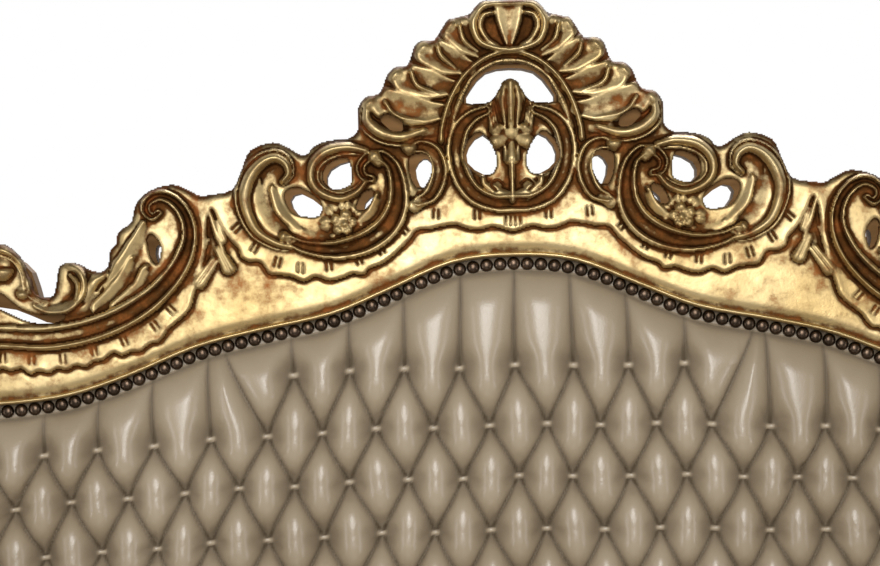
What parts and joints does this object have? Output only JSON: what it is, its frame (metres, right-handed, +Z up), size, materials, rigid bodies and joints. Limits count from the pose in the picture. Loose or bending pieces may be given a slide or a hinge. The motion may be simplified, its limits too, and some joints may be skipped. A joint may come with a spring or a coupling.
{
  "type": "cabriole sofa",
  "caption": "Gilt carved sofa with a pierced scrolled crest, deep-tufted leather back trimmed with nails, closed arms, cabriole legs and a loose bench cushion.",
  "frame": {"origin": "centre of the bounding box's bottom face, on the floor", "axes": "+X to the viewer's right along the sofa, +Y to the rear, +Z up"},
  "size_m": [1.5566, 0.8, 1.1949],
  "materials": {
    "gilt_wood": "burnished gold leaf over dark bole, worn in the recesses",
    "beech": "bare planed wood",
    "leather": "glossy taupe hide",
    "nail_bronze": "dark bronzed domed heads",
    "steel": "plain",
    "webbing": "woven jute",
    "black_cloth": "thin matte cloth"
  },
  "bodies": {
    "frame": {"crest_rail": "gilt_wood", "crest_border": "gilt_wood", "crest_lip": "gilt_wood", "crest_shell": "gilt_wood", "crest_medallion": "gilt_wood", "crest_finial": "gilt_wood", "crest_side_loops": "gilt_wood", "cup_scroll_left": "gilt_wood", "cup_scroll_right": "gilt_wood", "rosette_left": "gilt_wood", "rosette_right": "gilt_wood", "shoulder_scroll_left": "gilt_wood", "shoulder_scroll_right": "gilt_wood", "crest_dowels": "beech", "back_post_left": "gilt_wood", "back_post_right": "gilt_wood", "lower_back_rail": "beech", "back_upright": "beech", "back_webbing": "webbing", "tufted_back": "leather", "back_nails": "nail_bronze", "outside_back_panel": "leather", "seat_rail_front": "gilt_wood", "seat_rail_rear": "beech", "seat_rail_left": "gilt_wood", "seat_rail_right": "gilt_wood", "seat_brace": "beech", "corner_blocks": "beech", "block_screws": "steel", "apron_carving": "gilt_wood", "front_leg_left": "gilt_wood", "front_leg_right": "gilt_wood", "front_leg_centre": "gilt_wood", "rear_leg_centre": "gilt_wood", "foot_glides": "steel", "arm_rail_left": "gilt_wood", "arm_rail_right": "gilt_wood", "arm_post_left": "gilt_wood", "arm_post_right": "gilt_wood", "arm_pad_left": "leather", "arm_pad_right": "leather", "arm_inner_panel_left": "leather", "arm_inner_panel_right": "leather", "arm_outer_panel_left": "leather", "arm_outer_panel_right": "leather", "arm_nails": "nail_bronze", "seat_webbing": "webbing", "seat_deck": "leather", "dust_cover": "black_cloth"},
    "cushion": {"seat_cushion": "leather", "cushion_piping": "leather"}
  },
  "joints": [
    {"name": "cushion_lift", "type": "slide", "parent": "frame", "child": "cushion", "axis": [0, 0, 1], "range_m": [0, 0.3]}
  ]
}
